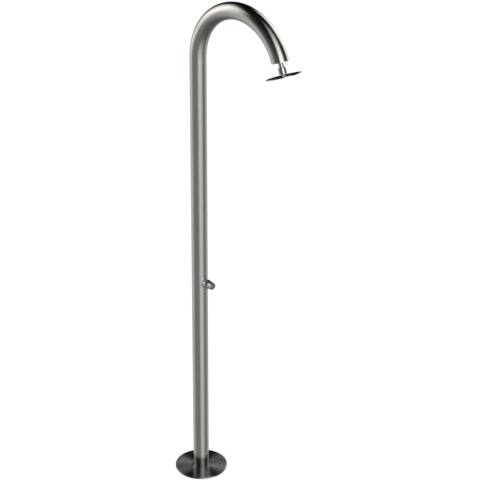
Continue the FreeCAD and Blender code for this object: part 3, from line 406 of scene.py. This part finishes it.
# Polished, worked and moulded finishes are given by their darker and lighter tone, then their
# lowest and highest roughness; worked and moulded ones also by their marks to the metre, and
# moulded ones by their depth in metres.
SATIN_TUBE = satin_tube_finish()
ROUND_BRUSHED = round_brushed_finish()
CHROME = polished_finish("chrome_plate", (0.46, 0.465, 0.47), (0.56, 0.565, 0.57), 0.01, 0.03)
MIRROR_STEEL = polished_finish("mirror_steel", (0.36, 0.36, 0.36), (0.44, 0.44, 0.44), 0.03, 0.07)
FINISHES = {
    "satin_steel": worked_metal_finish("satin_steel", (0.5, 0.49, 0.47), (0.62, 0.61, 0.59),
                                       0.22, 0.32, 900),
    "head_steel": MIRROR_STEEL,
    "plain_steel": worked_metal_finish("plain_steel", (0.42, 0.42, 0.42), (0.56, 0.56, 0.56),
                                       0.28, 0.42, 600),
    "chrome": CHROME,
    "brass": worked_metal_finish("turned_brass", (0.62, 0.45, 0.18), (0.78, 0.61, 0.30),
                                 0.20, 0.34, 500),
    "black_rubber": moulded_finish("black_rubber", (0.018, 0.018, 0.018), (0.04, 0.04, 0.04),
                                   0.55, 0.75, 1500, 0.0001),
    "silicone": moulded_finish("grey_silicone", (0.30, 0.31, 0.32), (0.38, 0.39, 0.40),
                               0.45, 0.6, 1500, 0.00005),
    "white_plastic": moulded_finish("white_plastic", (0.78, 0.78, 0.75), (0.86, 0.86, 0.84),
                                    0.3, 0.45, 1500, 0.00003),
    "fibre": moulded_finish("red_fibre", (0.36, 0.11, 0.06), (0.52, 0.19, 0.12),
                            0.7, 0.85, 2500, 0.0001),
    "braid": braid_finish(),
}

for node_name, cad_piece in NODES.items():
    cad_piece.data.materials.clear()
    cad_piece.data.materials.append(FINISHES[SLOTS[node_name]])


# ---------------------------------------------------------------- the bent tube

TUBE_SIDES = 96
STRAIGHT_STEPS = 14
BEND_STEPS = 72
VALVE_BAND = 20 * MM
TUBE_WELD_DISTANCE = 0.001 * MM
NECK_HOLE_R = 15 * MM
NECK_DRILL_LENGTH = 20 * MM


def unroll(piece):
    """Map of the tube in metres: first the way along it, then the way round it."""
    layer = piece.data.uv_layers.new(name="unrolled")
    for face in piece.data.polygons:
        places = []
        for corner in face.loop_indices:
            spot = piece.data.vertices[piece.data.loops[corner].vertex_index].co
            if spot.z <= BEND_START and spot.x < BEND_R:
                out, along = -spot.x, spot.z
            else:
                across, up = BEND_R - spot.x, spot.z - BEND_START
                out = math.hypot(across, up) - BEND_R
                along = BEND_START + BEND_R * (math.atan2(up, across) % math.tau)
            places.append([math.atan2(spot.y, out), along])
        if max(place[0] for place in places) - min(place[0] for place in places) > math.pi:
            for place in places:
                place[0] += math.tau if place[0] < 0 else 0
        for corner, place in zip(face.loop_indices, places):
            layer.data[corner].uv = (place[1], place[0] * TUBE_R)


def make_bent_tube():
    """One tube: pulled up from the foot, then spun over to the arm's end."""
    rest_hands()
    bpy.ops.mesh.primitive_circle_add(vertices=TUBE_SIDES, radius=TUBE_R,
                                      location=(0, 0, TUBE_FOOT))
    tube = bpy.context.object
    tube.name = "bent_tube"
    bpy.ops.object.transform_apply(location=True, rotation=True, scale=True)
    bpy.ops.object.mode_set(mode="EDIT")
    bpy.ops.mesh.select_all(action="SELECT")
    below = (VALVE_HEIGHT - VALVE_BAND - TUBE_FOOT) / STRAIGHT_STEPS
    above = (BEND_START - VALVE_HEIGHT - VALVE_BAND) / STRAIGHT_STEPS
    for rise in [below] * STRAIGHT_STEPS + [2 * VALVE_BAND] + [above] * STRAIGHT_STEPS:
        bpy.ops.mesh.extrude_region_move(TRANSFORM_OT_translate={"value": (0, 0, rise)})
    bpy.ops.mesh.spin(steps=BEND_STEPS, angle=-BEND_TURN, center=(BEND_R, 0, BEND_START),
                      axis=(0, 1, 0))
    bpy.ops.mesh.select_all(action="SELECT")
    bpy.ops.mesh.remove_doubles(threshold=TUBE_WELD_DISTANCE)
    bpy.ops.mesh.normals_make_consistent(inside=False)
    bpy.ops.object.mode_set(mode="OBJECT")
    wall = tube.modifiers.new("Wall", "SOLIDIFY")
    wall.thickness = TUBE_WALL
    wall.offset = -1
    bpy.ops.object.modifier_apply(modifier=wall.name)
    rest_hands()
    bpy.ops.mesh.primitive_cylinder_add(vertices=64, radius=NECK_HOLE_R,
                                        depth=NECK_DRILL_LENGTH,
                                        location=(TUBE_R, 0, VALVE_HEIGHT),
                                        rotation=(0, QUARTER_TURN, 0))
    cut(tube, bpy.context.object)
    unroll(tube)
    dress(tube, "post_tube", "post", SATIN_TUBE)


# ---------------------------------------------------------------- foot

# Radii and heights in millimetres, here and for all turned pieces below
PLATE_R = 110
PLATE_TOP = 6
WATER_ENTRY_R = 25
ANCHORS = 4
ANCHOR_CIRCLE_R = 85
ANCHOR_HOLE_R = 4.5
ANCHOR_SINK_R = 8.25
COVER_R = 118
COVER_BORE_R = 36
COVER_RIM_R = 116.5
COVER_UNDERSIDE = 6.5
COVER_TOP = 8
LIP_BORE_R = 35.1
LIP_R = 40


def make_floor_plate():
    """Round floor plate with four countersunk anchor holes, under the rosette."""
    plate = turned("floor_plate", [(WATER_ENTRY_R, 0), (PLATE_R, 0), (PLATE_R, PLATE_TOP),
                                   (WATER_ENTRY_R, PLATE_TOP)], sides=160)
    for number in range(ANCHORS):
        turn = QUARTER_TURN * number
        sink = turned("anchor_sink", [(ANCHOR_HOLE_R, -1), (ANCHOR_HOLE_R, 2.25),
                                      (ANCHOR_SINK_R, PLATE_TOP), (ANCHOR_SINK_R, 7)],
                      sides=48, closed=False)
        put(sink, (ANCHOR_CIRCLE_R * MM * math.cos(turn), ANCHOR_CIRCLE_R * MM * math.sin(turn),
                   0))
        cut(plate, sink)
    break_edges(plate, 0.2)
    dress(plate, "base_flange", "post", FINISHES["plain_steel"])


def make_foot():
    """Rosette with a turned-down rim, and the rubber lip round the tube."""
    rosette = turned("foot_rosette", [(COVER_BORE_R, COVER_UNDERSIDE),
                                      (COVER_RIM_R, COVER_UNDERSIDE), (COVER_RIM_R, 0.3),
                                      (COVER_R, 0.3), (COVER_R, 7.2), (117.2, COVER_TOP),
                                      (COVER_BORE_R, COVER_TOP)], sides=192)
    break_edges(rosette, 0.25)
    dress(rosette, "base_cover", "cover", ROUND_BRUSHED)
    lip = turned("rubber_lip", [(LIP_BORE_R, 6.2), (LIP_R, 6.2), (LIP_R, COVER_UNDERSIDE),
                                (COVER_BORE_R, COVER_UNDERSIDE), (COVER_BORE_R, 7.8),
                                (LIP_BORE_R, 7.8)])
    dress(lip, "cover_seal", "cover", FINISHES["black_rubber"])


# ---------------------------------------------------------------- valve and button

# Heights are taken along the button's axis, from the middle of the tube
RING_R = 19.5
RING_BORE_R = 17.25
RING_BACK = 20
RING_FACE = 49.3
COLLAR_THREAD_R = 17
COLLAR_THREAD_END = 37
COLLAR_BORE_R = 14.5
COLLAR_BACK = 50.9
COLLAR_FACE = 61
POCKET_R = 16.1
POCKET_FLOOR = 51.6
BUTTON_R = 15.8
BUTTON_BACK = 60
BUTTON_FACE = 82
BUTTON_BORE_R = 13.4
BUTTON_ROUND_CENTRE = (13.4, 79.6)
BUTTON_ROUND_R = 2.4
BUTTON_FLOOR = 78
BOSS_R = 5.5
BOSS_END = 66
ROD_SCREW_R = 2
ROD_SOCKET_R = 3
SCREW_HEAD_R = 4.2
INSERT_R = 11.5
INSERT_SEAT = 80.5
SADDLE_CUTTER_LENGTH = 80 * MM


def arc(centre, radius, start, end, steps):
    """Points of a rounded edge in a profile, angles in degrees from the radius."""
    points = []
    for index in range(steps + 1):
        angle = math.radians(start + (end - start) * index / steps)
        points.append((centre[0] + radius * math.cos(angle), centre[1] + radius * math.sin(angle)))
    return points


def make_saddle():
    """Ring that sits on the tube, its back cut to the tube's round."""
    ring = turned("valve_saddle_ring", [(RING_BORE_R, RING_BACK), (RING_R, RING_BACK),
                                        (RING_R, 49.0), (19.2, RING_FACE),
                                        (RING_BORE_R, RING_FACE)])
    on_valve(ring)
    rest_hands()
    bpy.ops.mesh.primitive_cylinder_add(vertices=192, radius=TUBE_R,
                                        depth=SADDLE_CUTTER_LENGTH,
                                        location=(0, 0, VALVE_HEIGHT))
    cut(ring, bpy.context.object)
    dress(ring, "valve_saddle", "post", CHROME)


def make_collar():
    """Tapered collar in front of the ring, past a dark seam."""
    collar = turned("valve_collar_cone", [
        (COLLAR_BORE_R, COLLAR_THREAD_END), (COLLAR_THREAD_R, COLLAR_THREAD_END),
        (COLLAR_THREAD_R, COLLAR_BACK), (18.8, COLLAR_BACK), (19.1, 51.2), (17.8, 60.7),
        (17.5, COLLAR_FACE), (16.3, COLLAR_FACE), (POCKET_R, 60.8), (POCKET_R, POCKET_FLOOR),
        (COLLAR_BORE_R, POCKET_FLOOR)])
    on_valve(collar)
    dress(collar, "valve_collar", "post", CHROME)


def make_button():
    """Button shell with its boss, and the round insert in its face."""
    rounded = arc(BUTTON_ROUND_CENTRE, BUTTON_ROUND_R, 0, 90, 8)
    skirt = [(BUTTON_BORE_R, 60.2), (13.6, BUTTON_BACK), (15.6, BUTTON_BACK), (BUTTON_R, 60.2)]
    recess = [(11.8, BUTTON_FACE), (11.6, 81.8), (11.6, INSERT_SEAT), (SCREW_HEAD_R, INSERT_SEAT),
              (SCREW_HEAD_R, 77.5), (ROD_SCREW_R, 77.5)]
    boss = [(ROD_SCREW_R, 76), (ROD_SOCKET_R, 76), (ROD_SOCKET_R, BOSS_END), (BOSS_R, BOSS_END),
            (BOSS_R, BUTTON_FLOOR), (BUTTON_BORE_R, BUTTON_FLOOR)]
    shell = turned("button_shell", skirt + rounded + recess + boss)
    on_valve(shell)
    dress(shell, "push_button", "button", CHROME)
    face = turned("button_face", [(INSERT_R, INSERT_SEAT), (INSERT_R, 81.6), (11.3, 81.85),
                                  (10.9, BUTTON_FACE), (4, BUTTON_FACE)], closed=False)
    on_valve(face)
    dress(face, "button_insert", "button", CHROME)


# ---------------------------------------------------------------- arm end, swivel and head

# Heights are taken along the arm's direction, from its end face
STEM_R = 10.4
STEM_BORE_R = 7
STEM_TOP = -22
STEM_END = 30
STEM_SHOULDER_R = 14
CAP_R = 33
CAP_INNER = -4
NUT_BACK = 20
NUT_END = 46
NUT_CORNER_R = 15.2
BALL_AT = 39
BALL_R = 8.5
SEAT_R = 8.8
NECK_R = 4.5
NECK_BORE_R = 3
NECK_END = 54
HUB_R = 7.5
HUB_BACK = 51.3
HUB_FLANGE_R = 10
HEAD_BACK = 52.5
HEAD_PLATE_END = 53.3
HEAD_EDGE_R = 69.5
HEAD_INNER_R = 69.2
HEAD_RIM_END = 56.1
MAT_R = 66
MAT_BACK = 54.6
MAT_FACE = 55.1
NOZZLE_RINGS = 4
NOZZLE_STEP = 14 * MM


def make_swivel():
    """End disc, nipple, swivel nut and the ball with its neck."""
    disc = turned("arm_disc", [(STEM_R, CAP_INNER), (CAP_R, CAP_INNER), (CAP_R, 0), (STEM_R, 0)])
    on_arm(disc)
    dress(disc, "arm_end_cap", "post", FINISHES["satin_steel"])
    nipple = turned("outlet_stem", [(STEM_BORE_R, STEM_TOP), (STEM_R, STEM_TOP), (STEM_R, -8),
                                    (STEM_SHOULDER_R, -8), (STEM_SHOULDER_R, CAP_INNER),
                                    (STEM_R, CAP_INNER), (STEM_R, STEM_END),
                                    (STEM_BORE_R, STEM_END)])
    on_arm(nipple)
    dress(nipple, "outlet_nipple", "post", CHROME)
    back_edge = arc((NUT_CORNER_R, 21), 1, -60, 0, 4)
    front_edge = arc((NUT_CORNER_R, 45), 1, 0, 90, 5)
    seat = arc((0, BALL_AT), SEAT_R, -6.5, 30.27, 8)
    nut = turned("swivel_collar", [(STEM_R, NUT_BACK), (NUT_CORNER_R, NUT_BACK)] + back_edge
                 + front_edge + [(8.6, NUT_END), (7.6, 45.04)] + seat[::-1] + [(STEM_R, 38)])
    on_arm(nut)
    dress(nut, "swivel_nut", "post", CHROME)
    ball = turned("head_ball", [(NECK_BORE_R, 31.05)] + arc((0, BALL_AT), BALL_R, -67, 57, 20)
                  + [(NECK_R, 46.3), (NECK_R, NECK_END), (NECK_BORE_R, NECK_END)], sides=64)
    on_arm(ball)
    dress(ball, "ball_stem", "head", CHROME)
    hub = turned("head_bush", [(NECK_R, HUB_BACK), (7.2, HUB_BACK), (HUB_R, 51.6),
                               (HUB_R, HEAD_PLATE_END), (HUB_FLANGE_R, HEAD_PLATE_END),
                               (HUB_FLANGE_R, NECK_END), (NECK_R, NECK_END)], sides=64)
    on_arm(hub)
    dress(hub, "head_hub", "head", CHROME)


def make_head():
    """Thin shell of the head, and its mat with four rings of nozzles."""
    back_edge = arc((HEAD_EDGE_R, 53), 0.5, -60, 0, 3)
    rim = [(70, 56), (69.9, HEAD_RIM_END), (69.3, HEAD_RIM_END), (HEAD_INNER_R, 56),
           (HEAD_INNER_R, HEAD_PLATE_END), (HUB_R, HEAD_PLATE_END)]
    shell = turned("head_shell", [(HUB_R, HEAD_BACK), (HEAD_EDGE_R, HEAD_BACK)] + back_edge + rim,
                   sides=160)
    on_arm(shell)
    dress(shell, "back_plate", "head", MIRROR_STEEL)
    mat = turned("nozzle_sheet", [(MAT_R, MAT_BACK), (MAT_R, MAT_FACE)], closed=False)
    nozzles = [mat]
    first = turned("nozzle", [(1.6, MAT_FACE), (1.6, 56.1), (1.4, 57.2), (1.2, 57.3), (0.6, 57.3),
                              (0.55, 56.8)], sides=12, closed=False)
    for ring in range(1, NOZZLE_RINGS + 1):
        in_ring = 6 * ring
        for number in range(in_ring):
            turn = math.tau * number / in_ring
            nozzle = first.copy()
            nozzle.data = first.data.copy()
            bpy.context.collection.objects.link(nozzle)
            put(nozzle, (NOZZLE_STEP * ring * math.cos(turn), NOZZLE_STEP * ring * math.sin(turn),
                         0))
            nozzles.append(nozzle)
    bpy.data.objects.remove(first)
    rest_hands()
    for nozzle in nozzles:
        nozzle.select_set(True)
    bpy.context.view_layer.objects.active = mat
    bpy.ops.object.join()
    on_arm(mat)
    dress(mat, "nozzle_mat", "head", FINISHES["silicone"])


make_bent_tube()
make_floor_plate()
make_foot()
make_saddle()
make_collar()
make_button()
make_swivel()
make_head()
rest_hands()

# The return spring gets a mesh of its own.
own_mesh(NODES["return_spring"])


# ---------------------------------------------------------------- floor, light and camera

CAMERA_ROUND = math.radians(46.32455577)
CAMERA_OUT = 5549.8495 * MM
CAMERA_UP = 3702.9677 * MM
CAMERA_ASIDE = math.radians(1.79374966)
CAMERA_DOWN = math.radians(24.75489661)
CAMERA_ROLL = math.radians(0.29294347)
FOCAL_PIXELS = 1424.8329
PICTURE_PIXELS = 480
SENSOR = 36
LENS = FOCAL_PIXELS * SENSOR / PICTURE_PIXELS

# Brightness of the studio's soft boxes, floor pools, wash and dark gaps by degrees round the
# object, where 0 faces the camera and plus is right. The end stops hold on from there.
BACK_BOXES = [(-180, 0), (-150, 0.01), (-134, 0.62), (-118, 1.05), (-102, 1.1), (-89, 0.6),
              (-73, 0), (97, 0), (120, 0.92), (148, 1.02), (170, 0), (180, 0)]
FRONT_BOX = [(-13, 0), (1, 0.88), (13, 1.15), (34, 1.25), (46, 0.6), (63, 0)]
POOLS = [(-180, 0.2), (-165, 0.42), (-150, 0.78), (-130, 1), (-110, 1), (-70, 0), (-15, 0),
         (6, 0.92), (18, 1.3), (40, 1.1), (67, 0), (92, 0), (124, 0.9), (140, 0.7), (156, 0.5),
         (180, 0.2)]
TOP_WASH = [(14, 0), (42, 1), (58, 0.9), (92, 0)]
GAPS = [(-180, 1), (-168, 0.9), (-156, 0), (158, 0), (168, 0.9), (180, 1)]

# The same places by degrees above the horizon
BACK_LEVEL = [(-20, 0), (-9, 0.5), (5, 0.92), (18, 1), (30, 0.98), (42, 0.62), (50, 0.12),
              (58, 0)]
FRONT_LEVEL = [(-16, 0), (-7, 0.9), (10, 1), (30, 0.8), (45, 0.52), (60, 0.26), (76, 0.12),
               (86, 0)]
POOL_LEVEL = [(-74, 0), (-60, 0.12), (-45, 0.5), (-30, 0.95), (-20, 1.1), (-14, 0.9), (-6, 0)]
WASH_LEVEL = [(34, 0), (50, 1), (72, 0.75), (86, 0)]
GAP_LEVEL = [(-34, 0), (-24, 0.4), (-16, 0.95), (90, 0.95)]

# The bare room, all round
ROOM_LEVEL = [(-90, 0.13), (-60, 0.15), (-40, 0.25), (-18, 0.26), (-8, 0.19), (2, 0.12),
              (12, 0.065), (35, 0.02), (55, 0.008)]

BOX_STRENGTH = 1.5
POOL_STRENGTH = 0.42
WASH_STRENGTH = 0.2

WHITE = (1, 1, 1, 1)
FLOOR_SIZE = 40
FLOOR_SHADE = (0.22, 0.22, 0.22, 1)
FLOOR_GLOW = 0.87
FLOOR_BOUNCE = (0.6, 0.6, 0.6, 1)

LAMP_PLACE = (-2, -3, 5)
LAMP_TURN = (math.radians(35), 0, math.radians(-10))
LAMP_STRENGTH = 2.0
LAMP_SPREAD = math.radians(25)


def make_camera():
    """The photograph's viewpoint."""
    heading = CAMERA_ASIDE - CAMERA_ROUND
    ahead = Vector((math.cos(CAMERA_DOWN) * math.sin(heading),
                    math.cos(CAMERA_DOWN) * math.cos(heading), -math.sin(CAMERA_DOWN)))
    level = Vector((math.cos(heading), -math.sin(heading), 0))
    upright = level.cross(ahead)
    right = math.cos(CAMERA_ROLL) * level + math.sin(CAMERA_ROLL) * upright
    top = math.cos(CAMERA_ROLL) * upright - math.sin(CAMERA_ROLL) * level
    bpy.ops.object.camera_add()
    camera = bpy.context.object
    camera.data.sensor_width = SENSOR
    camera.data.lens = LENS
    camera.data.clip_end = 100
    spot = Vector((CAMERA_OUT * math.sin(CAMERA_ROUND), -CAMERA_OUT * math.cos(CAMERA_ROUND),
                   CAMERA_UP))
    turn = Matrix((right, top, -ahead)).transposed().to_4x4()
    camera.matrix_world = Matrix.Translation(spot) @ turn
    bpy.context.scene.camera = camera


def ramp(nodes, links, value, stops):
    """Grey ramp of (position, brightness)."""
    node = nodes.new("ShaderNodeValToRGB")
    node.color_ramp.interpolation = "EASE"
    links.new(value, node.inputs["Fac"])
    elements = node.color_ramp.elements
    elements[0].position, elements[1].position = stops[0][0], stops[-1][0]
    for position, _ in stops[1:-1]:
        elements.new(position)
    for element, (_, level) in zip(elements, stops):
        element.color = (level, level, level, 1)
    return node.outputs["Color"]


def around(stops):
    """Ramp stops from degrees round the object."""
    return [((degrees + 180) / 360, level) for degrees, level in stops]


def upward(stops):
    """Ramp stops from degrees above the horizon."""
    return [((1 + math.sin(math.radians(degrees))) / 2, level) for degrees, level in stops]


def make_studio():
    """White to the eye; to the metal, a dark room with soft boxes and a floor lit in pools."""
    world = bpy.data.worlds.new("Studio")
    bpy.context.scene.world = world
    world.use_nodes = True
    nodes, links = world.node_tree.nodes, world.node_tree.links
    background = nodes["Background"]
    way = nodes.new("ShaderNodeTexCoord").outputs["Generated"]
    turn = nodes.new("ShaderNodeVectorRotate")
    turn.rotation_type = "Z_AXIS"
    turn.inputs["Angle"].default_value = QUARTER_TURN - CAMERA_ROUND
    links.new(way, turn.inputs["Vector"])
    gradient = nodes.new("ShaderNodeTexGradient")
    gradient.gradient_type = "RADIAL"
    links.new(turn.outputs["Vector"], gradient.inputs["Vector"])
    bearing = gradient.outputs["Fac"]
    parts = nodes.new("ShaderNodeSeparateXYZ")
    links.new(way, parts.inputs["Vector"])
    height = math_node(nodes, links, "MULTIPLY_ADD", parts.outputs["Z"], 0.5, 0.5)
    total = ramp(nodes, links, height, upward(ROOM_LEVEL))
    for place, level, strength in ((BACK_BOXES, BACK_LEVEL, BOX_STRENGTH),
                                   (FRONT_BOX, FRONT_LEVEL, BOX_STRENGTH),
                                   (POOLS, POOL_LEVEL, POOL_STRENGTH),
                                   (TOP_WASH, WASH_LEVEL, WASH_STRENGTH)):
        shining = math_node(nodes, links, "MULTIPLY",
                            ramp(nodes, links, bearing, around(place)),
                            ramp(nodes, links, height, upward(level)))
        total = math_node(nodes, links, "MULTIPLY_ADD", shining, strength, total)
    dark = math_node(nodes, links, "MULTIPLY", ramp(nodes, links, bearing, around(GAPS)),
                     ramp(nodes, links, height, upward(GAP_LEVEL)))
    lit = math_node(nodes, links, "SUBTRACT", 1, dark)
    total = math_node(nodes, links, "MULTIPLY", total, lit)
    links.new(total, background.inputs["Color"])
    seen = nodes.new("ShaderNodeBackground")
    seen.inputs["Color"].default_value = WHITE
    path = nodes.new("ShaderNodeLightPath")
    switch = nodes.new("ShaderNodeMixShader")
    links.new(path.outputs["Is Camera Ray"], switch.inputs["Fac"])
    links.new(background.outputs["Background"], switch.inputs[1])
    links.new(seen.outputs["Background"], switch.inputs[2])
    links.new(switch.outputs["Shader"], nodes["World Output"].inputs["Surface"])


def make_floor():
    """White floor that keeps a soft shadow; metal looks through it to the studio."""
    rest_hands()
    bpy.ops.mesh.primitive_plane_add(size=FLOOR_SIZE, location=(0, 0, 0))
    floor = bpy.context.object
    floor.name = "floor"
    finish = bpy.data.materials.new("pale_floor")
    finish.use_nodes = True
    nodes, links = finish.node_tree.nodes, finish.node_tree.links
    nodes.clear()
    diffuse = nodes.new("ShaderNodeBsdfDiffuse")
    diffuse.inputs["Color"].default_value = FLOOR_SHADE
    glow = nodes.new("ShaderNodeEmission")
    glow.inputs["Strength"].default_value = FLOOR_GLOW
    add = nodes.new("ShaderNodeAddShader")
    links.new(diffuse.outputs[0], add.inputs[0])
    links.new(glow.outputs[0], add.inputs[1])
    plain = nodes.new("ShaderNodeBsdfDiffuse")
    plain.inputs["Color"].default_value = FLOOR_BOUNCE
    clear = nodes.new("ShaderNodeBsdfTransparent")
    path = nodes.new("ShaderNodeLightPath")
    from_below = nodes.new("ShaderNodeNewGeometry").outputs["Backfacing"]
    look = plain.outputs[0]
    for chooser, other in ((path.outputs["Is Camera Ray"], add),
                           (path.outputs["Is Glossy Ray"], clear), (from_below, clear)):
        mix = nodes.new("ShaderNodeMixShader")
        links.new(chooser, mix.inputs["Fac"])
        links.new(look, mix.inputs[1])
        links.new(other.outputs[0], mix.inputs[2])
        look = mix.outputs[0]
    output = nodes.new("ShaderNodeOutputMaterial")
    links.new(look, output.inputs["Surface"])
    floor.data.materials.append(finish)


def make_lamp():
    """One soft lamp from the upper left, for the shadow; the metal doesn't mirror it."""
    bpy.ops.object.light_add(type="SUN", location=LAMP_PLACE)
    lamp = bpy.context.object
    lamp.name = "soft_lamp"
    lamp.data.energy = LAMP_STRENGTH
    lamp.data.angle = LAMP_SPREAD
    lamp.rotation_euler = LAMP_TURN
    lamp.visible_glossy = False


make_camera()
make_studio()
make_floor()
make_lamp()
rest_hands()

bpy.context.scene.view_settings.view_transform = "Standard"
